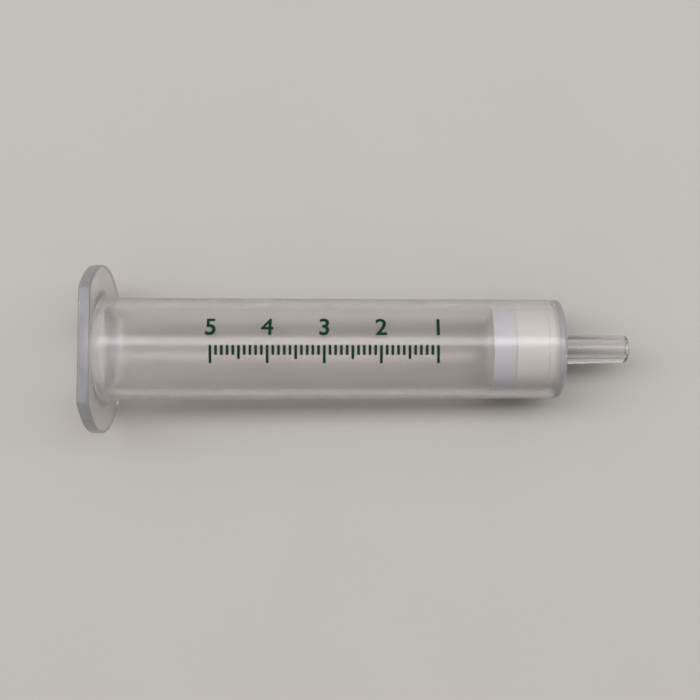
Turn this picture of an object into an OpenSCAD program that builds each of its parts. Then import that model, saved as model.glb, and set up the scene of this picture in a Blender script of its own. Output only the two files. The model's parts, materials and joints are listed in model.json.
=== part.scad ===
// Solid-phase-extraction cartridge of the 6 mL size: a moulded barrel with a finger flange and a
// tapered outlet tip, and inside it a bed of sorbent powder held between two porous frits.
// Each piece is drawn upright, with the mouth of the barrel at z = 0 and its axis along +Z, and is
// then laid down as the empty tube comes to rest: on one flat of its flange and on its closed end.

/* [Barrel] */
// Length of the barrel, from its mouth to the outside of its floor
barrel_l = 69.6; // [60:0.1:80]
// Diameter of the bore that holds the liquid
bore_d = 12.5; // [8:0.1:16]
// Thickness of the wall where it meets the flange
mouth_wall = 1.45; // [1.2:0.05:2.5]
// Thickness of the wall at the closed end, less because the outside has draft
end_wall = 1.15; // [1.1:0.05:2.5]
// Width of the lead-in chamfer round the mouth
mouth_chamfer = 0.4; // [0.2:0.1:0.8]
// Thickness of the floor that closes the barrel
floor_t = 1.0; // [0.9:0.1:1.6]
// Radius of the outer corner between wall and floor
end_corner_r = 0.6; // [0.3:0.1:1]

/* [Flange] */
// How far the round ends of the flange reach beyond the wall
flange_reach = 4.9; // [3:0.1:8]
// How far the two flats of the flange stand off the wall
flat_reach = 1.9; // [1.6:0.1:2.9]
// Thickness of the flange
flange_t = 1.7; // [1.4:0.1:2.4]
// Radius that breaks the edges of the flange
flange_edge_r = 0.3; // [0.1:0.05:0.5]
// Radius of the fillet between flange and barrel
neck_r = 1.5; // [0.5:0.1:1.5]

/* [Outlet tip] */
// Length of the tip below the floor
tip_l = 10.3; // [8:0.1:12]
// Diameter that the tapered side of the tip reaches at its end
tip_end_d = 3.98; // [3.9:0.01:4.1]
// Taper of the tip: loss of diameter for each unit of length
tip_taper = 0.06; // [0.04:0.01:0.08]
// Radius that rounds the end of the tip
tip_end_r = 0.4; // [0.2:0.05:0.7]
// Radius of the fillet where the tip leaves the floor
tip_root_r = 0.4; // [0.2:0.1:0.8]
// Diameter of the outlet hole through tip and floor
outlet_d = 2.0; // [1.4:0.1:2.2]

/* [Drain in the floor] */
// Number of radial grooves that lead liquid to the outlet
drain_count = 6; // [4:1:8]
// Width of a groove
drain_w = 0.8; // [0.5:0.1:1]
// Depth of the grooves and of the funnel they meet in
drain_depth = 0.4; // [0.2:0.1:0.5]
// Width of the floor left whole between the grooves and the wall
drain_margin = 1.35; // [0.8:0.05:2.5]
// Width of the funnel round the outlet hole
funnel_w = 0.8; // [0.3:0.1:1.5]

/* [Packing] */
// Thickness of the frit that rests on the floor
lower_frit_t = 1.5; // [1:0.1:3.2]
// Height of the packed bed of sorbent
bed_h = 4.6; // [2:0.1:20]
// Thickness of the frit that closes the bed
upper_frit_t = 3.3; // [1.5:0.1:4]
// How much wider than the bore the pressed-in packing holds the wall, across the diameter
seat_stretch = 0.2; // [0.1:0.05:0.3]
// Length over which the wall widens above the packing
seat_lead = 0.6; // [0.3:0.1:1.5]

/* [Hidden] */

$fn = 96;
through = 1; // how far a cutter runs past the face it opens
bury = 0.3; // how far a fillet's blank reaches into what it blends

// Radii across the axis
bore_r = bore_d / 2;
seat_r = bore_r + seat_stretch / 2;
mouth_r = bore_r + mouth_wall;
end_r = bore_r + end_wall;
flange_r = mouth_r + flange_reach;
flat_r = mouth_r + flat_reach;
outlet_r = outlet_d / 2;

// Levels along the axis, counted from the mouth
floor_z = barrel_l - floor_t;
bed_z = floor_z - lower_frit_t - bed_h;
seat_z = bed_z - upper_frit_t;
tip_z = barrel_l + tip_l;

// Radius of the tapered tip at a level
function tip_r(z) = (tip_end_d + tip_taper * (tip_z - z)) / 2;

// The floor line that the tube lies on touches two rounded edges: the lower edge of a flat of the
// flange, and the corner of the closed end. Each is [level, radius] of its centre.
flange_rest = [flange_t - flange_edge_r, flat_r - flange_edge_r];
end_rest = [barrel_l - end_corner_r, end_r - end_corner_r];
rest_run = end_rest[0] - flange_rest[0];
rest_drop = flange_rest[1] - end_rest[1];
tilt = atan2(rest_drop, rest_run) + asin((flange_edge_r - end_corner_r) / norm([rest_run, rest_drop]));
rest_h = end_rest[0] * sin(tilt) + end_rest[1] * cos(tilt) + end_corner_r;

// Ends of the laid tube along X, seen from the middle of its mouth
low_x = flange_edge_r * cos(tilt) - (flat_r - flange_edge_r) * sin(tilt) - flange_edge_r;
tip_edge_r = tip_r(tip_z - tip_end_r) - tip_end_r;
high_x = (tip_z - tip_end_r) * cos(tilt) + tip_edge_r * sin(tilt) + tip_end_r;

// Lays an upright piece down, with the tip towards +X and the origin under the middle of the tube
module lie_down() {
    translate([-(low_x + high_x) / 2, 0, rest_h]) rotate([0, 90 + tilt, 0]) children();
}

// Section of a bar with rounded edges, from the axis outwards
module rounded_end(reach, thickness, r) {
    square([reach - r, thickness]);
    translate([0, r]) square([reach, thickness - 2 * r]);
    for (level = [r, thickness - r]) translate([reach - r, level]) circle(r);
}

// Section of a fillet in the corner between a face at z = 0 and a wall at x = 0
module inner_fillet(r) {
    difference() {
        translate([-bury, -bury]) square(r + bury);
        translate([r, r]) circle(r);
    }
}

// Round plate with two flats, all of its edges rounded
module flange() {
    intersection() {
        rotate_extrude() rounded_end(flange_r, flange_t, flange_edge_r);
        rotate([90, 0, 0]) linear_extrude(height = 2 * (flange_r + through), center = true) {
            rounded_end(flat_r, flange_t, flange_edge_r);
            mirror([1, 0]) rounded_end(flat_r, flange_t, flange_edge_r);
        }
    }
}

// Outside of the barrel: a wall with draft, its rounded closed end and the fillet at the flange
module barrel_section() {
    wall_top = [mouth_r, flange_t];
    wall_bottom = [end_r, barrel_l - end_corner_r];
    polygon([[0, 0], [mouth_r, 0], wall_top, wall_bottom, [0, wall_bottom[1]]]);
    square([end_r - end_corner_r, barrel_l]);
    translate([end_r - end_corner_r, barrel_l - end_corner_r]) circle(end_corner_r);
    translate(wall_top) inner_fillet(neck_r);
}

// Outside of the tapered outlet tip
module tip_section() {
    shoulder_z = tip_z - tip_end_r;
    polygon([[0, floor_z], [tip_r(floor_z), floor_z], [tip_r(shoulder_z), shoulder_z], [0, shoulder_z]]);
    square([tip_edge_r, tip_z]);
    translate([tip_edge_r, shoulder_z]) circle(tip_end_r);
    translate([tip_r(barrel_l), barrel_l]) inner_fillet(tip_root_r);
}

// The room inside the barrel: mouth chamfer, bore, and the stretched seat of the packing
module bore() {
    lead_z = seat_z - seat_lead;
    translate([0, 0, -through]) cylinder(r = bore_r, h = lead_z + through);
    translate([0, 0, -through])
        cylinder(r1 = bore_r + mouth_chamfer + through, r2 = bore_r, h = mouth_chamfer + through);
    translate([0, 0, lead_z]) cylinder(r1 = bore_r, r2 = seat_r, h = seat_lead);
    translate([0, 0, seat_z]) cylinder(r = seat_r, h = floor_z - seat_z);
}

// Grooves under the lower frit, the funnel that they run into, and the outlet hole
module drain() {
    for (i = [0 : drain_count - 1])
        rotate(i * 360 / drain_count)
            translate([0, -drain_w / 2, floor_z - through])
                cube([seat_r - drain_margin, drain_w, drain_depth + through]);
    translate([0, 0, floor_z]) cylinder(r1 = outlet_r + funnel_w, r2 = outlet_r, h = drain_depth);
    translate([0, 0, floor_z - through]) cylinder(r = outlet_r, h = tip_z - floor_z + 2 * through);
}

module barrel() {
    color([0.84, 0.84, 0.82, 0.4]) lie_down() difference() {
        union() {
            flange();
            rotate_extrude() barrel_section();
            rotate_extrude() tip_section();
        }
        bore();
        drain();
    }
}

// A disc of packing that fills the seat from one level to the next
module packed_disc(from_z, to_z) {
    translate([0, 0, from_z]) cylinder(r = seat_r, h = to_z - from_z);
}

module upper_frit() {
    color([0.9, 0.91, 0.93]) lie_down() packed_disc(seat_z, bed_z);
}

module sorbent_bed() {
    color([0.93, 0.9, 0.84]) lie_down() packed_disc(bed_z, floor_z - lower_frit_t);
}

module lower_frit() {
    color([0.9, 0.91, 0.93]) lie_down() packed_disc(floor_z - lower_frit_t, floor_z);
}

barrel();
upper_frit();
sorbent_bed();
lower_frit();
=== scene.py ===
"""Looks of a solid-phase-extraction cartridge of the 6 mL size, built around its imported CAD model.

The cartridge is a clear moulded barrel with a finger flange and a tapered outlet tip. A bed of sorbent
powder is packed between two porous frits at its closed end, and a plain volume scale is printed on it.
Each piece is drawn upright in metres, with the mouth of the barrel at z = 0 and the axis along +Z,
and is then laid down where the CAD model lies.
"""

import json
import math

import bmesh
import bpy
from mathutils import Matrix, Vector


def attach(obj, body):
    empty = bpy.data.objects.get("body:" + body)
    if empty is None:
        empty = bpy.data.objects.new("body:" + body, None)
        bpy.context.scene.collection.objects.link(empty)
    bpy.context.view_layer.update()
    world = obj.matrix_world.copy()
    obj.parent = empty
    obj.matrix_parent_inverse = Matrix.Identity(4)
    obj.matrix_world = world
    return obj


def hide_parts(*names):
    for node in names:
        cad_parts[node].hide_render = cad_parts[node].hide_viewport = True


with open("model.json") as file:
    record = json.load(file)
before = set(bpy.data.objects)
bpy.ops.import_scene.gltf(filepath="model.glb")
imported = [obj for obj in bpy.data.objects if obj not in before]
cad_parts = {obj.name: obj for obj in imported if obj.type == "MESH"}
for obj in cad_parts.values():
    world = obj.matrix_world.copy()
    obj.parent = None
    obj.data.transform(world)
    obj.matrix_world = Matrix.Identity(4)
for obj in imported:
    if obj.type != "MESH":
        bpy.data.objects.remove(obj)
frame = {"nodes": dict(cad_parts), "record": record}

bl_info = {
    "name": "Extraction Cartridge",
    "version": (1, 0, 0),
    "blender": (4, 5, 0),
    "location": "View3D > Sidebar > Cartridge",
    "description": "Builds a clear extraction cartridge, its packing, its volume scale and its stage",
    "category": "Object",
}

MM = 0.001  # in metres
ML = 1e-6  # in cubic metres
SHARP_ANGLE = math.radians(28)  # an edge that turns by more than this is shaded sharp
NUMERAL_SHARE = 0.62  # height of a numeral as a share of its font size
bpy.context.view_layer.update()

# Where the tube lies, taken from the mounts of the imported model
MOUNTS = {mount["name"]: mount for mount in frame["record"]["mounts"]}
AXIS = Vector(MOUNTS["outlet_tip"]["axis"]).normalized()
DOWN = Vector(MOUNTS["flange_flat"]["axis"]).normalized()
TIP_END = Vector(MOUNTS["outlet_tip"]["pos_m"])
MOUTH = TIP_END + AXIS * (Vector(MOUNTS["mouth_face"]["pos_m"]) - TIP_END).dot(AXIS)
LAY_DOWN = Matrix.Translation(MOUTH) @ Matrix((DOWN, AXIS.cross(DOWN), AXIS)).transposed().to_4x4()

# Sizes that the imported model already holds
BORE_R = MOUNTS["reservoir_bore"]["dims"]["r_mm"] * MM
FLANGE_T = (Vector(MOUNTS["flange_underside"]["pos_m"]) - MOUTH).dot(AXIS)
FLAT_R = (Vector(MOUNTS["flange_flat"]["pos_m"]) - MOUTH).dot(DOWN)


def extent(node):
    """First level, last level and radius of a CAD node, measured upright from the mouth"""
    stand_up = LAY_DOWN.inverted()
    points = [stand_up @ vertex.co for vertex in frame["nodes"][node].data.vertices]
    levels = [point.z for point in points]
    return min(levels), max(levels), max(math.hypot(point.x, point.y) for point in points)


TIP_LEVEL, FLANGE_R = extent("barrel")[1:]
FLOOR_LEVEL, SEAT_R = extent("lower_frit")[1:]
SEAT_LEVEL = extent("upper_frit")[0]


def length(name, default, description):
    """A length that a user can change, in metres"""
    return bpy.props.FloatProperty(
        name=name, description=description, default=default, min=0.0, unit="LENGTH", precision=5
    )


def angle(name, degrees, description):
    """An angle that a user can change"""
    return bpy.props.FloatProperty(
        name=name, description=description, default=math.radians(degrees), subtype="ANGLE"
    )


def colour(name, default, description):
    """A colour that a user can change, as linear values"""
    return bpy.props.FloatVectorProperty(
        name=name, description=description, default=default, size=3, min=0.0, max=1.0, subtype="COLOR"
    )


def factor(name, default, description):
    """A share from 0 to 1 that a user can change"""
    return bpy.props.FloatProperty(
        name=name, description=description, default=default, min=0.0, max=1.0, subtype="FACTOR"
    )


def number(name, default, description):
    """A count that a user can change"""
    return bpy.props.IntProperty(name=name, description=description, default=default, min=1)


def power(name, default, description):
    """The power of a lamp that a user can change, in watts"""
    return bpy.props.FloatProperty(
        name=name, description=description, default=default, min=0.0, unit="POWER"
    )


class CartridgeBarrel(bpy.types.PropertyGroup):
    """Sizes and finish of the moulded barrel"""

    mouth_wall: length("Mouth wall", 1.45 * MM, "Thickness of the wall where it meets the flange")
    end_wall: length("End wall", 1.15 * MM, "Thickness of the wall at the closed end")
    mouth_chamfer: length("Mouth chamfer", 0.4 * MM, "Width of the lead-in chamfer round the mouth")
    floor: length("Floor", 1.0 * MM, "Thickness of the floor that closes the barrel")
    end_corner: length("End corner", 0.6 * MM, "Radius of the outer corner between wall and floor")
    flange_edge: length("Flange edge", 0.3 * MM, "Radius that breaks the edges of the flange")
    neck: length("Neck", 1.5 * MM, "Radius of the fillet between flange and barrel")
    seat_lead: length("Seat lead", 0.6 * MM, "Length over which the bore widens above the packing")
    tip_radius: length("Tip radius", 1.99 * MM, "Radius that the tapered side reaches at its end")
    tip_taper: bpy.props.FloatProperty(
        name="Tip taper", description="Loss of radius for each unit of length", default=0.03, min=0.0
    )
    tip_edge: length("Tip edge", 0.4 * MM, "Radius that rounds the end of the tip")
    tip_root: length("Tip root", 0.4 * MM, "Radius of the fillet where the tip leaves the floor")
    outlet: length("Outlet", 1.0 * MM, "Radius of the outlet hole")
    drains: number("Drains", 6, "Number of radial grooves in the floor")
    drain_width: length("Drain width", 0.8 * MM, "Width of a groove")
    drain_depth: length("Drain depth", 0.4 * MM, "Depth of the grooves and of the funnel they meet in")
    drain_margin: length("Drain margin", 1.35 * MM, "Floor left whole between the grooves and the wall")
    funnel: length("Funnel", 0.8 * MM, "Width of the funnel round the outlet hole")
    segments: number("Segments", 288, "Number of faces round the tube")
    plastic: colour("Plastic", (0.93, 0.915, 0.905), "Colour of the clear plastic")
    clearness: factor("Clearness", 0.95, "Share of the light that the plastic passes unscattered")
    edge_clearness: factor("Edge clearness", 0.66, "The same at the rim of the flange and the closed end")
    # the rim colour is also laid just inside the mouth as painted shade, standing in for the flange's
    # shadowed floor contact seen through the bore
    rim: colour("Rim", (0.515, 0.515, 0.54), "Colour of the flange's rim and throat")
    end: colour("End", (0.79, 0.775, 0.79), "Colour of the closed end and the tip")
    gloss: colour("Gloss", (0.72, 0.72, 0.76), "Strength of the highlights on the plastic")
    shade: colour("Shade", (0.90, 0.88, 0.864), "Light that a surface of the wall lets through")
    low_shade: colour("Low shade", (0.38, 0.30, 0.255), "The same where the light meets it at a low angle")
    packed_shade: colour("Packed shade", (0.05, 0.04, 0.035), "The same at a low angle round the packing")


class CartridgePacking(bpy.types.PropertyGroup):
    """Sizes and colours of the two frits and the sorbent bed"""

    gap: length("Gap", 0.04 * MM, "Space left between the packing and the wall")
    edge: length("Disc edge", 0.02 * MM, "Radius that breaks the edges of a disc")
    grain: length("Grain", 0.35 * MM, "Size of the pores and grains")
    relief: length("Relief", 0.03 * MM, "Height of the pores and grains")
    segments: number("Segments", 240, "Number of faces round a disc")
    frit: colour("Frit", (0.675, 0.696, 0.762), "Colour of the upper frit")
    # painted light: the upper frit's open face lies in shade and gets this paler, bluer colour so that it
    # looks lit
    face: colour("Frit face", (0.88, 0.91, 0.98), "Colour of the open face of the upper frit")
    # the lower frit gets its own colour, paler and warmer than the upper frit's; no powder is drawn on it
    lower_frit: colour("Lower frit", (0.82, 0.812, 0.808), "Colour of the lower frit, dusted with powder")
    sorbent: colour("Sorbent", (0.775, 0.768, 0.746), "Colour of the packed powder")


class CartridgeScale(bpy.types.PropertyGroup):
    """Sizes and colour of the printed volume scale"""

    marks: number("Marks", 5, "Number of millilitres that are marked")
    steps: number("Steps", 10, "Number of lines for each millilitre")
    numeral: length("Numeral height", 2.25 * MM, "Height of the numerals")
    numeral_weight: length("Numeral weight", 0.07 * MM, "How much bolder a numeral is drawn, on each side")
    numeral_angle: angle("Numeral angle", 20.1, "From the upper flat of the flange to the numerals")
    line_angle: angle("Line angle", 0.4, "From the upper flat of the flange to the head of the lines")
    long_line: length("Long line", 2.6 * MM, "Length of the line of a whole millilitre")
    half_line: length("Half line", 2.0 * MM, "Length of the line of a half millilitre")
    short_line: length("Short line", 1.4 * MM, "Length of the other lines")
    line_width: length("Line width", 0.4 * MM, "Width of a line")
    ink_height: length("Ink height", 0.02 * MM, "How far the ink stands off the wall")
    ink: colour("Ink", (0.001, 0.022, 0.007), "Colour of the print")


class CartridgeStage(bpy.types.PropertyGroup):
    """Camera, light and floor"""

    camera_distance: length("Camera distance", 152.5 * MM, "From the camera to the middle of the view")
    camera_lens: bpy.props.FloatProperty(
        name="Lens", description="Focal length of the camera", default=52.3, unit="CAMERA"
    )
    camera_level: length("Camera level", 38.42 * MM, "Level on the axis that the camera looks at")
    camera_drop: length("Camera drop", 0.13 * MM, "How far below the axis the camera looks")
    camera_lean: angle("Camera lean", 4.0, "How far the camera stands to the near side of the flats")
    strip_distance: length("Strip distance", 1.0, "From the narrow lamp to the tube")
    strip_length: length("Strip length", 4.0, "Length of the narrow lamp, along the tube")
    strip_width: length("Strip width", 0.30, "Width of the narrow lamp")
    strip_angle: angle("Strip angle", 14.0, "How far the narrow lamp stands to the far side of the tube")
    strip_power: power("Strip power", 16.3, "Power of the narrow lamp")
    panel_distance: length("Panel distance", 1.6, "From the soft panel to the tube")
    panel_length: length("Panel length", 3.0, "Length of the soft panel, along the tube")
    panel_width: length("Panel width", 1.5, "Width of the soft panel")
    panel_angle: angle("Panel angle", 30.0, "How far the soft panel stands to the far side of the tube")
    panel_power: power("Panel power", 5.6, "Power of the soft panel")
    sky: colour("Sky", (0.47, 0.465, 0.46), "Light from straight above")
    horizon: colour("Horizon", (0.06, 0.06, 0.06), "Light from the side")
    floor: colour("Floor", (0.52, 0.502, 0.478), "Colour of the floor")
    floor_width: length("Floor width", 1.6, "Width of the floor")


class Nodes:
    """A node tree in the making, whose nodes are wired as they are added"""

    def __init__(self, tree):
        self.tree = tree

    def add(self, kind, inputs=None, **settings):
        """Adds a node, sets it up and feeds its inputs by name or number"""
        node = self.tree.nodes.new(kind)
        for name, value in settings.items():
            setattr(node, name, value)
        for name, value in (inputs or {}).items():
            self.feed(node.inputs[name], value)
        return node

    def feed(self, socket, value):
        """Gives an input a constant, or links it to a node's first output or to a named output"""
        if isinstance(value, bpy.types.Node):
            value = value.outputs[0]
        if isinstance(value, bpy.types.NodeSocket):
            self.tree.links.new(value, socket)
        else:
            socket.default_value = value

    def math(self, operation, *values):
        """One step of arithmetic"""
        return self.add("ShaderNodeMath", dict(enumerate(values)), operation=operation)

    def vector(self, x, y, z):
        """A vector from its three parts"""
        return self.add("ShaderNodeCombineXYZ", {"X": x, "Y": y, "Z": z})

    def parts(self, vector):
        """The three parts of a vector, by name"""
        return self.add("ShaderNodeSeparateXYZ", {0: vector}).outputs

    def spread(self, value, low, high):
        """A value from 0 to 1, spread from low to high"""
        return self.add("ShaderNodeMapRange", {"Value": value, "To Min": low, "To Max": high})

    def smooth_step(self, value, low, high):
        """0 below low, 1 above high and a smooth rise between them"""
        inputs = {"Value": value, "From Min": low, "From Max": high}
        return self.add("ShaderNodeMapRange", inputs, interpolation_type="SMOOTHSTEP")

    def fall(self, value, low, high):
        """1 below low, 0 above high and a smooth fall between them"""
        return self.math("SUBTRACT", 1, self.smooth_step(value, low, high))

    def largest(self, masks, shares):
        """The largest of some masks, each times its share"""
        result = 0
        for name, share in shares.items():
            result = self.math("MAXIMUM", result, self.math("MULTIPLY", masks[name], share))
        return result

    def lessened(self, value, mask, share=1.0):
        """A value, less by a share of itself where a mask is 1"""
        return self.math("MULTIPLY", value, self.math("MULTIPLY_ADD", mask, -share, 1))

    def between(self, share, first, second):
        """A number between two numbers"""
        inputs = {0: share, 2: first, 3: second}
        return self.add("ShaderNodeMix", inputs, data_type="FLOAT").outputs[0]

    def blend(self, share, first, second):
        """A colour between two, each given as three parts or wired from a node"""
        inputs = {0: share}
        for socket, tone in ((6, first), (7, second)):
            inputs[socket] = tone if isinstance(tone, bpy.types.NodeSocket) else (*tone, 1)
        return self.add("ShaderNodeMix", inputs, data_type="RGBA").outputs[2]

    def noise(self, pattern, scale, detail):
        """Cloudy noise from 0 to 1, with scale clouds for each metre"""
        return self.add("ShaderNodeTexNoise", {"Vector": pattern, "Scale": scale, "Detail": detail})

    def bump(self, height, strength, depth):
        """A bumped normal"""
        return self.add("ShaderNodeBump", {"Height": height, "Strength": strength, "Distance": depth})

    def surface(self, output, inputs):
        """Ends a material in one principled shader"""
        self.feed(output.inputs["Surface"], self.add("ShaderNodeBsdfPrincipled", inputs))


SOCKETS = {
    "geometry": "NodeSocketGeometry",
    "length": "NodeSocketFloat",
    "number": "NodeSocketInt",
    "text": "NodeSocketString",
    "material": "NodeSocketMaterial",
}


def geometry_tree(name, inputs):
    """An empty geometry tree with these named inputs, and its group input and output"""
    tree = bpy.data.node_groups.new(name, "GeometryNodeTree")
    for label, kind in inputs.items():
        tree.interface.new_socket(label, in_out="INPUT", socket_type=SOCKETS[kind])
    tree.interface.new_socket("Mesh", in_out="OUTPUT", socket_type=SOCKETS["geometry"])
    nodes = Nodes(tree)
    return nodes, nodes.add("NodeGroupInput").outputs, nodes.add("NodeGroupOutput")


def finish_tree(nodes, geometry, given, result):
    """Ends a tree in plain geometry with its material"""
    plain = nodes.add("GeometryNodeRealizeInstances", {0: geometry})
    dressed = nodes.add("GeometryNodeSetMaterial", {"Geometry": plain, "Material": given["Material"]})
    nodes.feed(result.inputs["Mesh"], dressed)


def revolved_tree():
    """Turns a section, drawn as a line of points in the XZ plane, round the Z axis"""
    nodes, given, result = geometry_tree("revolved_section", {"Section": "geometry", "Segments": "number"})
    size = nodes.add("GeometryNodeAttributeDomainSize", {"Geometry": given["Section"]}, component="MESH")
    count = size.outputs["Point Count"]
    columns = nodes.math("ADD", given["Segments"], 1)
    grid = nodes.add("GeometryNodeMeshGrid", {"Vertices X": columns, "Vertices Y": count})
    index = nodes.add("GeometryNodeInputIndex")
    place = nodes.add("GeometryNodeInputPosition")
    inputs = {"Geometry": given["Section"], "Value": place, "Index": nodes.math("MODULO", index, count)}
    point = nodes.add("GeometryNodeSampleIndex", inputs, data_type="FLOAT_VECTOR")
    part = nodes.parts(point)
    column = nodes.math("FLOOR", nodes.math("DIVIDE", nodes.math("ADD", index, 0.5), count))
    turn = nodes.math("DIVIDE", nodes.math("MULTIPLY", column, math.tau), given["Segments"])
    x = nodes.math("MULTIPLY", part["X"], nodes.math("COSINE", turn))
    y = nodes.math("MULTIPLY", part["X"], nodes.math("SINE", turn))
    place = nodes.vector(x, y, part["Z"])
    turned = nodes.add("GeometryNodeSetPosition", {"Geometry": grid.outputs["Mesh"], "Position": place})
    seam = 0.0002 * MM
    closed = nodes.add("GeometryNodeMergeByDistance", {"Geometry": turned, "Distance": seam})
    nodes.feed(result.inputs["Mesh"], closed)
    return nodes.tree


def radius_and_turn(nodes):
    """Distance from the axis and angle round it of every point, with its place"""
    place = nodes.parts(nodes.add("GeometryNodeInputPosition"))
    squares = nodes.math("ADD", nodes.math("POWER", place["X"], 2), nodes.math("POWER", place["Y"], 2))
    return nodes.math("SQRT", squares), nodes.math("ARCTAN2", place["Y"], place["X"]), place


def cut_flats(nodes, given, mesh):
    """Draws the round flange in to its two flats, and keeps the rounding of its edges"""
    radius, turn, place = radius_and_turn(nodes)
    least = 0.01  # no division by 0 at the round ends
    cosine = nodes.math("MAXIMUM", nodes.math("ABSOLUTE", nodes.math("COSINE", turn)), least)
    edge = given["Edge radius"]
    neck = given["Neck radius"]

    def outline(inset):
        """Distance from the axis to the flange's outline, drawn in by an inset"""
        to_flat = nodes.math("DIVIDE", nodes.math("SUBTRACT", given["Flat distance"], inset), cosine)
        return nodes.math("MINIMUM", nodes.math("SUBTRACT", given["Flange radius"], inset), to_flat)

    inset = nodes.math("SUBTRACT", given["Flange radius"], radius)
    width = nodes.math("SUBTRACT", nodes.math("SUBTRACT", given["Flange radius"], edge), neck)
    share = nodes.math("DIVIDE", nodes.math("SUBTRACT", radius, neck), width)
    reach = nodes.math("SUBTRACT", outline(edge), neck)
    on_face = nodes.math("MULTIPLY_ADD", share, reach, neck)
    just_over = 1.001
    in_edge = nodes.math("LESS_THAN", inset, nodes.math("MULTIPLY", edge, just_over))
    drawn = nodes.between(in_edge, on_face, outline(inset))
    scale = nodes.math("DIVIDE", drawn, radius)
    x = nodes.math("MULTIPLY", place["X"], scale)
    y = nodes.math("MULTIPLY", place["Y"], scale)
    inputs = {
        "Geometry": mesh,
        "Selection": nodes.math("GREATER_THAN", radius, neck),
        "Position": nodes.vector(x, y, place["Z"]),
    }
    return nodes.add("GeometryNodeSetPosition", inputs)


def sink_drains(nodes, given, mesh):
    """Sinks radial grooves into the floor, from the funnel outwards"""
    radius, turn, place = radius_and_turn(nodes)
    half_pitch = nodes.math("DIVIDE", math.pi, given["Drains"])
    nearest = nodes.math("WRAP", turn, half_pitch, nodes.math("MULTIPLY", half_pitch, -1))
    aside = nodes.math("MULTIPLY", radius, nodes.math("ABSOLUTE", nodes.math("SINE", nearest)))
    soft = 0.06 * MM
    slack = 0.001 * MM
    floor = given["Floor level"]
    reach = given["Drain reach"]
    half_width = nodes.math("MULTIPLY", given["Drain width"], 0.5)
    side = nodes.smooth_step(aside, nodes.math("SUBTRACT", half_width, soft), half_width)
    end = nodes.smooth_step(radius, nodes.math("SUBTRACT", reach, soft), reach)
    depth = nodes.lessened(given["Drain depth"], nodes.math("MAXIMUM", side, end))
    level = nodes.math("MAXIMUM", place["Z"], nodes.math("ADD", floor, depth))
    on_floor = nodes.math("GREATER_THAN", place["Z"], nodes.math("SUBTRACT", floor, slack))
    under = nodes.math("LESS_THAN", radius, reach)
    inputs = {
        "Geometry": mesh,
        "Selection": nodes.math("MULTIPLY", on_floor, under),
        "Position": nodes.vector(place["X"], place["Y"], level),
    }
    return nodes.add("GeometryNodeSetPosition", inputs)


def revolve(nodes, given):
    """The given section, turned round the axis in the given number of steps"""
    turned = nodes.add("GeometryNodeGroup", node_tree=revolved_tree())
    for name in ("Section", "Segments"):
        nodes.feed(turned.inputs[name], given[name])
    return turned


def barrel_tree():
    """The revolved barrel with its flats and drain grooves"""
    inputs = {
        "Section": "geometry",
        "Segments": "number",
        "Flange radius": "length",
        "Flat distance": "length",
        "Edge radius": "length",
        "Neck radius": "length",
        "Floor level": "length",
        "Drains": "number",
        "Drain width": "length",
        "Drain depth": "length",
        "Drain reach": "length",
        "Material": "material",
    }
    nodes, given, result = geometry_tree("moulded_barrel", inputs)
    turned = revolve(nodes, given)
    flatted = cut_flats(nodes, given, turned)
    drained = sink_drains(nodes, given, flatted)
    finish_tree(nodes, drained, given, result)
    return nodes.tree


def packed_disc_tree():
    """A revolved disc whose skin is roughened by pores and grains"""
    inputs = {
        "Section": "geometry",
        "Segments": "number",
        "Grain": "length",
        "Relief": "length",
        "Material": "material",
    }
    nodes, given, result = geometry_tree("packed_disc", inputs)
    turned = revolve(nodes, given)
    density = nodes.math("DIVIDE", 1, given["Grain"])
    noise = nodes.add("ShaderNodeTexNoise", {"Scale": density, "Detail": 1.0, "Roughness": 0.5})
    unmoved = 0.6  # noise above this is a grain, and noise below it a pore
    height = nodes.math("MULTIPLY", nodes.math("SUBTRACT", noise.outputs[0], unmoved), given["Relief"])
    normal = nodes.add("GeometryNodeInputNormal")
    push = nodes.add("ShaderNodeVectorMath", {0: normal, "Scale": height}, operation="SCALE")
    rough = nodes.add("GeometryNodeSetPosition", {"Geometry": turned, "Offset": push})
    finish_tree(nodes, rough, given, result)
    return nodes.tree


def wrap_on_wall(nodes, given, flat, turn):
    """Bends a flat print onto the drafted wall: X runs along the tube, Y round it and Z outwards"""
    place = nodes.parts(nodes.add("GeometryNodeInputPosition"))
    inputs = {
        "Value": place["X"],
        "From Min": given["Wall start"],
        "From Max": given["Wall end"],
        "To Min": given["Start radius"],
        "To Max": given["End radius"],
    }
    wall = nodes.add("ShaderNodeMapRange", inputs, clamp=False)
    around = nodes.math("ADD", nodes.math("DIVIDE", place["Y"], wall), turn)
    radius = nodes.math("ADD", wall, place["Z"])
    x = nodes.math("MULTIPLY", radius, nodes.math("MULTIPLY", nodes.math("COSINE", around), -1))
    y = nodes.math("MULTIPLY", radius, nodes.math("SINE", around))
    inputs = {"Geometry": flat, "Position": nodes.vector(x, y, place["X"])}
    return nodes.add("GeometryNodeSetPosition", inputs)


WALL_INPUTS = {
    "Wall start": "length",
    "Wall end": "length",
    "Start radius": "length",
    "End radius": "length",
    "Turn": "length",
    "Ink height": "length",
    "Material": "material",
}


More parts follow.
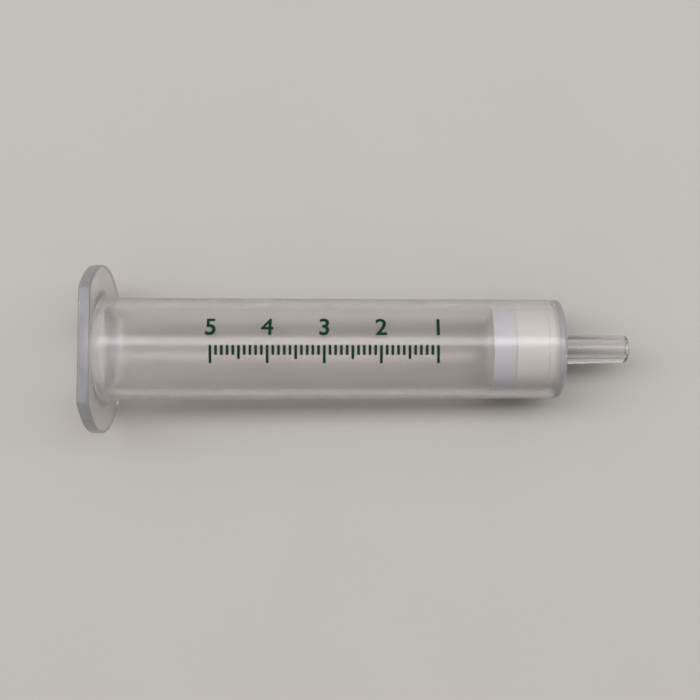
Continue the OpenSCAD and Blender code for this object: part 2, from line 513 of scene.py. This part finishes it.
def lines_tree():
    """The lines of the scale: a row of thin bars, longer at halves and whole millilitres"""
    inputs = {
        "First level": "length",
        "Pitch": "length",
        "Lines": "number",
        "Steps": "number",
        "Long line": "length",
        "Half line": "length",
        "Short line": "length",
        "Line width": "length",
    }
    nodes, given, result = geometry_tree("scale_lines", inputs | WALL_INPUTS)
    start = nodes.vector(given["First level"], 0, 0)
    step = nodes.vector(nodes.math("MULTIPLY", given["Pitch"], -1), 0, 0)
    inputs = {"Count": given["Lines"], "Start Location": start, "Offset": step}
    places = nodes.add("GeometryNodeMeshLine", inputs)
    index = nodes.math("ADD", nodes.add("GeometryNodeInputIndex"), given["Steps"])

    def every(count):
        """1 at each line whose number is a whole multiple of count"""
        return nodes.math("LESS_THAN", nodes.math("MODULO", index, count), 0.5)

    half = every(nodes.math("MULTIPLY", given["Steps"], 0.5))
    reach = nodes.between(half, given["Short line"], given["Half line"])
    reach = nodes.between(every(given["Steps"]), reach, given["Long line"])
    thickness = nodes.math("MULTIPLY", given["Ink height"], 2)
    bar_size = nodes.vector(given["Line width"], 1, thickness)
    bar = nodes.add("GeometryNodeMeshCube", {"Size": bar_size, "Vertices X": 2, "Vertices Y": 9})
    hung = nodes.add("GeometryNodeTransform", {"Geometry": bar, "Translation": (0, -0.5, 0)})
    inputs = {"Points": places, "Instance": hung, "Scale": nodes.vector(1, reach, 1)}
    bars = nodes.add("GeometryNodeInstanceOnPoints", inputs)
    plain = nodes.add("GeometryNodeRealizeInstances", {0: bars})
    wrapped = wrap_on_wall(nodes, given, plain, given["Turn"])
    finish_tree(nodes, wrapped, given, result)
    return nodes.tree


def numeral_tree(font):
    """One numeral of the scale, cut fine enough to bend round the wall"""
    inputs = {"Numeral": "text", "Level": "length", "Height": "length", "Weight": "length"}
    nodes, given, result = geometry_tree("scale_numeral", inputs | WALL_INPUTS)
    inputs = {"String": given["Numeral"], "Size": given["Height"]}
    setting = {"align_x": "CENTER", "align_y": "MIDDLE", "font": font}
    written = nodes.add("GeometryNodeStringToCurves", inputs, **setting)
    outline = nodes.add("GeometryNodeRealizeInstances", {0: written.outputs["Curve Instances"]})
    smooth = nodes.add("GeometryNodeResampleCurve", {"Curve": outline}, mode="EVALUATED")
    inputs = {0: nodes.add("GeometryNodeInputTangent"), 1: (0, 0, 1)}
    aside = nodes.add("ShaderNodeVectorMath", inputs, operation="CROSS_PRODUCT")
    grow = nodes.add("ShaderNodeVectorMath", {0: aside, "Scale": given["Weight"]}, operation="SCALE")
    bold = nodes.add("GeometryNodeSetPosition", {"Geometry": smooth, "Offset": grow})
    filled = nodes.add("GeometryNodeFillCurve", {"Curve": bold})
    fine = nodes.add("GeometryNodeSubdivideMesh", {"Mesh": filled, "Level": 2})
    thickness = nodes.math("MULTIPLY", given["Ink height"], 2)
    inputs = {"Mesh": fine, "Offset Scale": thickness, "Individual": False}
    raised = nodes.add("GeometryNodeExtrudeMesh", inputs)
    joined = nodes.add("GeometryNodeJoinGeometry")
    nodes.feed(joined.inputs[0], nodes.add("GeometryNodeFlipFaces", {"Mesh": fine}))
    nodes.feed(joined.inputs[0], raised.outputs["Mesh"])
    seam = 0.0005 * MM
    closed = nodes.add("GeometryNodeMergeByDistance", {"Geometry": joined, "Distance": seam})
    shift = nodes.vector(given["Level"], 0, nodes.math("MULTIPLY", given["Ink height"], -1))
    moved = nodes.add("GeometryNodeTransform", {"Geometry": closed, "Translation": shift})
    wrapped = wrap_on_wall(nodes, given, moved, given["Turn"])
    finish_tree(nodes, wrapped, given, result)
    return nodes.tree


def grown_mesh(tree, settings, section=()):
    """The plain mesh that a geometry tree makes from a section, drawn as (radius, level) points"""
    mesh = bpy.data.meshes.new("section")
    points = [(radius, 0, level) for radius, level in section]
    mesh.from_pydata(points, [(i, i + 1) for i in range(len(points) - 1)], [])
    carrier = bpy.data.objects.new("carrier", mesh)
    bpy.context.scene.collection.objects.link(carrier)
    modifier = carrier.modifiers.new("Shape", "NODES")
    modifier.node_group = tree
    sockets = {item.name: item.identifier for item in tree.interface.items_tree if item.in_out == "INPUT"}
    for name, value in settings.items():
        modifier[sockets[name]] = value
    evaluated = carrier.evaluated_get(bpy.context.evaluated_depsgraph_get())
    grown = bpy.data.meshes.new_from_object(evaluated)
    bpy.data.objects.remove(carrier)
    bpy.data.meshes.remove(mesh)
    return grown


def laid_piece(name, meshes, material, slot, *nodes):
    """Joins upright meshes into one piece, lays it down and lets it stand for its CAD nodes"""
    shape = bmesh.new()
    for mesh in meshes:
        shape.from_mesh(mesh)
        bpy.data.meshes.remove(mesh)
    if not shape.faces:
        raise RuntimeError(f"{name} came out with no faces")
    bmesh.ops.recalc_face_normals(shape, faces=shape.faces)
    for face in shape.faces:
        face.smooth = True
        face.material_index = 0
    shape.transform(LAY_DOWN)
    mesh = bpy.data.meshes.new(name)
    shape.to_mesh(mesh)
    shape.free()
    mesh.materials.append(material)
    mesh.set_sharp_from_angle(angle=SHARP_ANGLE)
    piece = bpy.data.objects.new(name, mesh)
    bpy.context.scene.collection.objects.link(piece)
    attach(piece, "root")
    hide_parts(*nodes)


def line_points(start, end, step):
    """Points from start towards end, about a step apart, without the end itself"""
    pieces = max(1, round(math.dist(start, end) / step))
    return [tuple(a + (b - a) * i / pieces for a, b in zip(start, end)) for i in range(pieces)]


def arc_points(centre, radius, start, end, pieces=8):
    """Points along an arc from one angle to the other, in degrees, without the last one"""
    turns = [math.radians(start + (end - start) * i / pieces) for i in range(pieces)]
    return [(centre[0] + radius * math.cos(t), centre[1] + radius * math.sin(t)) for t in turns]


def barrel_radii(sizes):
    """Outer radius of the wall at the mouth and at the closed end, and the level where it ends"""
    wall_end = FLOOR_LEVEL + sizes.floor - sizes.end_corner
    return BORE_R + sizes.mouth_wall, BORE_R + sizes.end_wall, wall_end


def barrel_section(sizes):
    """Closed section of the barrel as (radius, level) points, from the mouth round the outside"""
    mouth_r, end_r, wall_end = barrel_radii(sizes)
    edge = sizes.flange_edge
    neck = sizes.neck
    corner = sizes.end_corner
    root = sizes.tip_root
    end_level = FLOOR_LEVEL + sizes.floor
    shoulder = TIP_LEVEL - sizes.tip_edge

    def tip_r(level):
        """Radius of the tapered tip at a level"""
        return sizes.tip_radius + sizes.tip_taper * (TIP_LEVEL - level)

    def wall_r(level):
        """Radius of the drafted wall at a level"""
        return mouth_r + (end_r - mouth_r) * (level - FLANGE_T) / (wall_end - FLANGE_T)

    tip_face = tip_r(shoulder) - sizes.tip_edge
    funnel_level = FLOOR_LEVEL + sizes.drain_depth
    lead_level = SEAT_LEVEL - sizes.seat_lead
    fine = 0.15 * MM
    medium = 0.5 * MM
    coarse = 1.5 * MM
    points = line_points((BORE_R + sizes.mouth_chamfer, 0), (FLANGE_R - edge, 0), medium)
    points += arc_points((FLANGE_R - edge, edge), edge, -90, 0)
    points += line_points((FLANGE_R, edge), (FLANGE_R, FLANGE_T - edge), 0.5 * medium)
    points += arc_points((FLANGE_R - edge, FLANGE_T - edge), edge, 0, 90)
    points += line_points((FLANGE_R - edge, FLANGE_T), (mouth_r + neck, FLANGE_T), medium)
    points += arc_points((mouth_r + neck, FLANGE_T + neck), neck, -90, -180, 12)
    points += line_points((wall_r(FLANGE_T + neck), FLANGE_T + neck), (end_r, wall_end), coarse)
    points += arc_points((end_r - corner, wall_end), corner, 0, 90, 10)
    points += line_points((end_r - corner, end_level), (tip_r(end_level) + root, end_level), medium)
    points += arc_points((tip_r(end_level) + root, end_level + root), root, -90, -180)
    points += line_points((tip_r(end_level + root), end_level + root), (tip_r(shoulder), shoulder), coarse)
    points += arc_points((tip_face, shoulder), sizes.tip_edge, 0, 90)
    points += line_points((tip_face, TIP_LEVEL), (sizes.outlet, TIP_LEVEL), fine)
    points += line_points((sizes.outlet, TIP_LEVEL), (sizes.outlet, funnel_level), coarse)
    points += line_points((sizes.outlet, funnel_level), (sizes.outlet + sizes.funnel, FLOOR_LEVEL), fine)
    points += line_points((sizes.outlet + sizes.funnel, FLOOR_LEVEL), (SEAT_R, FLOOR_LEVEL), fine)
    points += line_points((SEAT_R, FLOOR_LEVEL), (SEAT_R, SEAT_LEVEL), coarse)
    points += line_points((SEAT_R, SEAT_LEVEL), (BORE_R, lead_level), fine)
    points += line_points((BORE_R, lead_level), (BORE_R, sizes.mouth_chamfer), coarse)
    points += line_points((BORE_R, sizes.mouth_chamfer), (BORE_R + sizes.mouth_chamfer, 0), fine)
    return [*points, points[0]]


def disc_section(first, last, radius, edge):
    """Section of a disc from the middle of one face round to the middle of the other"""
    fine = 0.16 * MM
    points = line_points((0, first), (radius - edge, first), fine)
    points += arc_points((radius - edge, first + edge), edge, -90, 0, 4)
    points += line_points((radius, first + edge), (radius, last - edge), fine)
    points += arc_points((radius - edge, last - edge), edge, 0, 90, 4)
    points += line_points((radius - edge, last), (0, last), fine)
    return [*points, (0, last)]


def new_material(name):
    """An empty node material, its tree and its output"""
    material = bpy.data.materials.new(name)
    material.use_nodes = True
    material.node_tree.nodes.clear()
    nodes = Nodes(material.node_tree)
    return material, nodes, nodes.add("ShaderNodeOutputMaterial")


def tube_pattern(nodes, stretch=1.0):
    """Object coordinates turned so that Z runs along the tube, drawn out along it"""
    inputs = {
        "Vector": nodes.add("ShaderNodeTexCoord").outputs["Object"],
        "Location": MOUTH,
        "Rotation": LAY_DOWN.to_euler(),
        "Scale": (1, 1, stretch),
    }
    return nodes.add("ShaderNodeMapping", inputs, vector_type="TEXTURE")


def toned(tone, ratio):
    """A colour made darker or paler by a ratio"""
    return tuple(ratio * part for part in tone)


def plastic_zones(nodes, settings):
    """Masks from 0 to 1 of the places where the barrel looks different from its plain wall

    plate, rim, throat and neck lie at the flange, packed and seat at the packing, end and tip below it.
    The throat mask lays painted shade just inside the mouth.
    """
    place = nodes.parts(tube_pattern(nodes))
    level = place["Z"]
    sideways = nodes.math("ABSOLUTE", place["X"])
    across = nodes.vector(place["X"], place["Y"], 0)
    radius = nodes.add("ShaderNodeVectorMath", {0: across}, operation="LENGTH").outputs["Value"]
    edge = settings.flange_edge
    floor = settings.floor
    throat_r = BORE_R + settings.mouth_chamfer
    near_seat = 0.2 * MM
    plate = nodes.fall(level, FLANGE_T, 1.2 * FLANGE_T)
    round_rim = nodes.smooth_step(radius, FLANGE_R - 1.5 * edge, FLANGE_R - edge)
    flat_rim = nodes.smooth_step(sideways, FLAT_R - 1.5 * edge, FLAT_R - edge)
    round_throat_shade = nodes.fall(radius, throat_r, throat_r + 0.5 * settings.mouth_chamfer)
    packed = nodes.smooth_step(level, SEAT_LEVEL - settings.seat_lead, SEAT_LEVEL)
    return {
        "plate": plate,
        "rim": nodes.math("MULTIPLY", plate, nodes.math("MAXIMUM", round_rim, flat_rim)),
        # painted shade: the rim's grey on the bore just inside the mouth
        "throat_shade": nodes.math("MULTIPLY", nodes.fall(level, 1.1 * FLANGE_T, 1.6 * FLANGE_T), round_throat_shade),
        "neck": nodes.fall(level, FLANGE_T, 2.5 * FLANGE_T),
        "packed": packed,
        "seat": nodes.math("MULTIPLY", packed, nodes.fall(radius, SEAT_R, SEAT_R + near_seat)),
        "end": nodes.smooth_step(level, FLOOR_LEVEL - 0.5 * floor, FLOOR_LEVEL),
        "tip": nodes.smooth_step(level, FLOOR_LEVEL + floor, FLOOR_LEVEL + 1.5 * floor),
    }


def plastic_shadow(nodes, zones, settings):
    """What the plastic lets through of the light that falls on other things: less at a low angle

    Facing is 0 where light meets a surface square on and 1 where it grazes it. Round the packing the
    wall is darker to light that comes in, while light that leaves it is only dimmed at the seat.
    """
    wall_ramp = (0.33, 0.62)
    seat_ramp = (0.56, 0.64)
    packed_lead = 0.15
    facing = nodes.add("ShaderNodeLayerWeight", {"Blend": 0.5}).outputs["Facing"]
    leaving = nodes.add("ShaderNodeNewGeometry").outputs["Backfacing"]
    early = nodes.math("MULTIPLY_ADD", zones["packed"], packed_lead, facing)
    low = nodes.lessened(nodes.smooth_step(early, *wall_ramp), zones["plate"], 0.5)
    low = nodes.lessened(low, nodes.math("MULTIPLY", zones["packed"], leaving))
    low = nodes.between(zones["seat"], low, nodes.smooth_step(facing, *seat_ramp))
    dense = nodes.largest(zones, {"plate": 0.28, "end": 0.55, "tip": 0.6})
    low_shade = nodes.blend(zones["packed"], settings.low_shade, settings.packed_shade)
    shade = nodes.blend(nodes.math("MAXIMUM", low, dense), settings.shade, low_shade)
    return nodes.add("ShaderNodeBsdfTransparent", {"Color": shade})


def clear_plastic(settings):
    """Clear polypropylene: glossy, faintly milky, with soft flow lines and faint waves"""
    material, nodes, output = new_material("clear_plastic")
    flow = nodes.noise(tube_pattern(nodes, 12), 900.0, 2.0)
    cloud = nodes.noise(tube_pattern(nodes), 120.0, 3.0)
    waves = nodes.noise(tube_pattern(nodes, 3), 260.0, 1.0)
    zones = plastic_zones(nodes, settings)
    tip_clearness = 0.75
    neck_veil = 0.38
    cloudiness = 0.08
    # the rim's own grey, and the same grey inside the mouth as painted shade
    rim_tone_and_throat_shade = nodes.largest(zones, {"rim": 1.0, "throat_shade": 0.85})
    closed = nodes.math("MULTIPLY_ADD", zones["tip"], -tip_clearness, zones["end"])
    thick = nodes.math("MAXIMUM", rim_tone_and_throat_shade, nodes.math("MULTIPLY", zones["neck"], neck_veil))
    thick = nodes.math("MAXIMUM", thick, closed)
    clear = nodes.spread(thick, settings.clearness, settings.edge_clearness)
    uneven = nodes.math("SUBTRACT", cloud, 0.5)
    inputs = {
        "Base Color": nodes.blend(closed, nodes.blend(rim_tone_and_throat_shade, settings.plastic, settings.rim), settings.end),
        "Roughness": nodes.spread(flow, 0.15, 0.23),
        "IOR": 1.46,
        "Specular Tint": (*settings.gloss, 1),
        "Transmission Weight": nodes.math("MULTIPLY_ADD", uneven, cloudiness, clear),
        "Normal": nodes.bump(waves, 0.015, 0.05 * MM),
    }
    plastic = nodes.add("ShaderNodeBsdfPrincipled", inputs)
    path = nodes.add("ShaderNodeLightPath").outputs
    lets_through = nodes.math("MAXIMUM", path["Is Shadow Ray"], path["Is Diffuse Ray"])
    passing = plastic_shadow(nodes, zones, settings)
    shader = nodes.add("ShaderNodeMixShader", {0: lets_through, 1: plastic, 2: passing})
    nodes.feed(output.inputs["Surface"], shader)
    body = nodes.add("ShaderNodeVolumeAbsorption", {"Color": (0.6, 0.63, 0.7, 1), "Density": 30.0})
    nodes.feed(output.inputs["Volume"], body)
    return material


def sintered_plastic(name, tone, face):
    """White porous polyethylene: soft, with fine pores, and painted paler and bluer where it faces the
    mouth, as painted light on a face that lies in shade
    """
    material, nodes, output = new_material(name)
    pattern = tube_pattern(nodes)
    pores = nodes.add("ShaderNodeTexVoronoi", {"Vector": pattern, "Scale": 5200.0})
    mottle = nodes.noise(pattern, 1400.0, 4.0)
    base = nodes.blend(mottle, toned(tone, 0.9), tone)
    pore_depth = 0.04 * MM
    level = nodes.parts(pattern)["Z"]
    on_side = nodes.smooth_step(level, SEAT_LEVEL + pore_depth, SEAT_LEVEL + 3 * pore_depth)
    inputs = {
        # painted light: the face towards the mouth takes the paler face colour
        "Base Color": nodes.blend(on_side, face, base),
        "Roughness": 0.62,
        "Specular IOR Level": 0.2,
        "Subsurface Weight": 1.0,
        "Subsurface Radius": (0.9, 1.0, 1.2),
        "Subsurface Scale": 0.6 * MM,
        "Normal": nodes.bump(pores, 0.5, pore_depth),
    }
    nodes.surface(output, inputs)
    return material


def packed_powder(settings):
    """Cream sorbent powder, packed tight: fine grains of slightly different tone"""
    material, nodes, output = new_material("packed_powder")
    pattern = tube_pattern(nodes)
    grains = nodes.add("ShaderNodeTexVoronoi", {"Vector": pattern, "Scale": 7000.0})
    cloud = nodes.noise(pattern, 700.0, 5.0)
    grain_share = 0.4
    speck = nodes.math("MULTIPLY", cloud, 1 - grain_share)
    speck = nodes.math("MULTIPLY_ADD", grains.outputs["Distance"], grain_share, speck)
    inputs = {
        "Base Color": nodes.blend(speck, settings.sorbent, toned(settings.sorbent, 0.84)),
        "Roughness": 0.85,
        "Specular IOR Level": 0.15,
        "Normal": nodes.bump(grains, 0.45, 0.03 * MM),
    }
    nodes.surface(output, inputs)
    return material


def printed_ink(settings):
    """Dark green pad-printed ink: slightly uneven in tone and gloss"""
    material, nodes, output = new_material("printed_ink")
    uneven = nodes.noise(tube_pattern(nodes), 1800.0, 3.0)
    inputs = {
        "Base Color": nodes.blend(uneven, settings.ink, toned(settings.ink, 1.6)),
        "Roughness": nodes.spread(uneven, 0.45, 0.6),
        "Specular IOR Level": 0.12,
    }
    nodes.surface(output, inputs)
    return material


def bench_top(settings):
    """Pale matte floor with a faint mottle"""
    material, nodes, output = new_material("bench_top")
    mottle = nodes.noise(nodes.add("ShaderNodeTexCoord").outputs["Object"], 40.0, 4.0)
    base = nodes.blend(mottle, toned(settings.floor, 0.965), settings.floor)
    nodes.surface(output, {"Base Color": base, "Roughness": 0.9, "Specular IOR Level": 0.1})
    return material


class CARTRIDGE_OT_barrel(bpy.types.Operator):
    """Makes the clear barrel with its flange, tip and drained floor"""

    bl_idname = "cartridge.barrel"
    bl_label = "Make Barrel"

    def execute(self, context):
        sizes = context.scene.cartridge_barrel
        material = clear_plastic(sizes)
        settings = {
            "Segments": sizes.segments,
            "Flange radius": FLANGE_R,
            "Flat distance": FLAT_R,
            "Edge radius": sizes.flange_edge,
            "Neck radius": BORE_R + sizes.mouth_wall + sizes.neck,
            "Floor level": FLOOR_LEVEL,
            "Drains": sizes.drains,
            "Drain width": sizes.drain_width,
            "Drain depth": sizes.drain_depth,
            "Drain reach": SEAT_R - sizes.drain_margin,
            "Material": material,
        }
        mesh = grown_mesh(barrel_tree(), settings, barrel_section(sizes))
        laid_piece("barrel_shell", [mesh], material, "barrel_plastic", "barrel")
        return {"FINISHED"}


class CARTRIDGE_OT_packing(bpy.types.Operator):
    """Makes the two frits and the sorbent bed between them"""

    bl_idname = "cartridge.packing"
    bl_label = "Make Packing"

    def execute(self, context):
        sizes = context.scene.cartridge_packing
        upper = sintered_plastic("sintered_plastic", sizes.frit, sizes.face)
        lower = sintered_plastic("dusted_plastic", sizes.lower_frit, sizes.face)
        powder = packed_powder(sizes)
        tree = packed_disc_tree()
        discs = (
            ("upper_frit_disc", "upper_frit", upper, "frit_plastic"),
            ("sorbent_powder", "sorbent_bed", powder, "sorbent_powder"),
            ("lower_frit_disc", "lower_frit", lower, "frit_plastic"),
        )
        skin = {"Segments": sizes.segments, "Grain": sizes.grain, "Relief": sizes.relief}
        for name, node, material, slot in discs:
            first, last, radius = extent(node)
            section = disc_section(first, last, radius - sizes.gap, sizes.edge)
            mesh = grown_mesh(tree, skin | {"Material": material}, section)
            laid_piece(name, [mesh], material, slot, node)
        return {"FINISHED"}


class CARTRIDGE_OT_scale(bpy.types.Operator):
    """Prints the volume scale on the upper side of the barrel"""

    bl_idname = "cartridge.scale"
    bl_label = "Print Scale"

    def execute(self, context):
        sizes = context.scene.cartridge_scale
        mouth_r, end_r, wall_end = barrel_radii(context.scene.cartridge_barrel)
        material = printed_ink(sizes)
        per_ml = ML / (math.pi * BORE_R**2)
        first = SEAT_LEVEL - per_ml
        wall = {
            "Wall start": FLANGE_T,
            "Wall end": wall_end,
            "Start radius": mouth_r,
            "End radius": end_r,
            "Ink height": sizes.ink_height,
            "Material": material,
        }
        lines = {
            "First level": first,
            "Pitch": per_ml / sizes.steps,
            "Lines": (sizes.marks - 1) * sizes.steps + 1,
            "Steps": sizes.steps,
            "Long line": sizes.long_line,
            "Half line": sizes.half_line,
            "Short line": sizes.short_line,
            "Line width": sizes.line_width,
            "Turn": sizes.line_angle,
        }
        meshes = [grown_mesh(lines_tree(), lines | wall)]
        tree = numeral_tree(bpy.data.fonts.load("<builtin>"))
        for mark in range(1, sizes.marks + 1):
            numeral = {
                "Numeral": str(mark),
                "Level": SEAT_LEVEL - mark * per_ml,
                "Height": sizes.numeral / NUMERAL_SHARE,
                "Weight": sizes.numeral_weight,
                "Turn": sizes.numeral_angle,
            }
            meshes.append(grown_mesh(tree, numeral | wall))
        laid_piece("graduation_print", meshes, material, "print_ink")
        return {"FINISHED"}


class CARTRIDGE_OT_stage(bpy.types.Operator):
    """Sets up the floor, the light and the camera"""

    bl_idname = "cartridge.stage"
    bl_label = "Set Stage"
    LAMP_FIELDS = ("distance", "length", "width", "angle", "power")

    def execute(self, context):
        settings = context.scene.cartridge_stage
        self.lay_floor(settings)
        for name in ("strip", "panel"):
            self.hang_lamp(settings, name)
        self.fill_room(settings)
        self.place_camera(settings)
        context.scene.view_settings.view_transform = "Standard"
        return {"FINISHED"}

    def lay_floor(self, settings):
        """A flat bench top under the tube"""
        half = settings.floor_width / 2
        corners = [(-half, -half, 0), (half, -half, 0), (half, half, 0), (-half, half, 0)]
        mesh = bpy.data.meshes.new("bench")
        mesh.from_pydata(corners, [], [(0, 1, 2, 3)])
        mesh.materials.append(bench_top(settings))
        floor = bpy.data.objects.new("bench", mesh)
        bpy.context.scene.collection.objects.link(floor)

    def hang_lamp(self, settings, name):
        """A long soft lamp along the tube, over its far side, set up from the settings of its name"""
        given = {field: getattr(settings, f"{name}_{field}") for field in self.LAMP_FIELDS}
        light = bpy.data.lights.new(name, "AREA")
        light.shape = "RECTANGLE"
        light.size = given["length"]
        light.size_y = given["width"]
        light.energy = given["power"]
        lamp = bpy.data.objects.new(name, light)
        lean = given["angle"]
        lamp.location = Vector((0, math.sin(lean), math.cos(lean))) * given["distance"]
        lamp.rotation_euler = (-lean, 0, 0)
        bpy.context.scene.collection.objects.link(lamp)

    def fill_room(self, settings):
        """Soft light, strongest from above, and a backdrop as pale as the floor where it is seen"""
        world = bpy.data.worlds.new("room")
        world.use_nodes = True
        world.node_tree.nodes.clear()
        nodes = Nodes(world.node_tree)
        path = nodes.add("ShaderNodeLightPath").outputs
        seen = nodes.math("MAXIMUM", path["Is Camera Ray"], path["Is Glossy Ray"])
        seen = nodes.math("MAXIMUM", seen, path["Is Transmission Ray"])
        direction = nodes.parts(nodes.add("ShaderNodeTexCoord").outputs["Generated"])
        fill = nodes.blend(direction["Z"], settings.horizon, settings.sky)
        backdrop = nodes.blend(seen, fill, settings.floor)
        background = nodes.add("ShaderNodeBackground", {"Color": backdrop})
        nodes.add("ShaderNodeOutputWorld", {"Surface": background})
        bpy.context.scene.world = world

    def place_camera(self, settings):
        """Looks down on the tube, square to its axis"""
        lean = settings.camera_lean
        up_side = -DOWN
        across = AXIS.cross(DOWN)
        towards = up_side * math.cos(lean) - across * math.sin(lean)
        picture_up = up_side * math.sin(lean) + across * math.cos(lean)
        target = MOUTH + AXIS * settings.camera_level - picture_up * settings.camera_drop
        lens = bpy.data.cameras.new("camera")
        lens.lens = settings.camera_lens
        lens.clip_start = MM
        camera = bpy.data.objects.new("camera", lens)
        turn = Matrix((AXIS, picture_up, towards)).transposed().to_4x4()
        camera.matrix_world = Matrix.Translation(target + towards * settings.camera_distance) @ turn
        bpy.context.scene.collection.objects.link(camera)
        bpy.context.scene.camera = camera


GROUPS = {
    "cartridge_barrel": CartridgeBarrel,
    "cartridge_packing": CartridgePacking,
    "cartridge_scale": CartridgeScale,
    "cartridge_stage": CartridgeStage,
}
OPERATORS = (CARTRIDGE_OT_barrel, CARTRIDGE_OT_packing, CARTRIDGE_OT_scale, CARTRIDGE_OT_stage)


class CARTRIDGE_PT_sidebar(bpy.types.Panel):
    """Lists the steps that build the cartridge, each with its sizes"""

    bl_idname = "CARTRIDGE_PT_sidebar"
    bl_label = "Extraction Cartridge"
    bl_space_type = "VIEW_3D"
    bl_region_type = "UI"
    bl_category = "Cartridge"

    def draw(self, context):
        for name, operator in zip(GROUPS, OPERATORS):
            box = self.layout.box()
            box.operator(operator.bl_idname)
            for field in GROUPS[name].__annotations__:
                box.prop(getattr(context.scene, name), field)


def register():
    """Adds the settings, the operators and the panel"""
    for name, group in GROUPS.items():
        bpy.utils.register_class(group)
        setattr(bpy.types.Scene, name, bpy.props.PointerProperty(type=group))
    for kind in (*OPERATORS, CARTRIDGE_PT_sidebar):
        bpy.utils.register_class(kind)


def unregister():
    """Takes the panel, the operators and the settings away"""
    for kind in (CARTRIDGE_PT_sidebar, *reversed(OPERATORS)):
        bpy.utils.unregister_class(kind)
    for name, group in reversed(GROUPS.items()):
        delattr(bpy.types.Scene, name)
        bpy.utils.unregister_class(group)


def main():
    """Builds every piece and the stage"""
    register()
    bpy.ops.cartridge.barrel()
    bpy.ops.cartridge.packing()
    bpy.ops.cartridge.scale()
    bpy.ops.cartridge.stage()


if __name__ == "__main__":
    main()
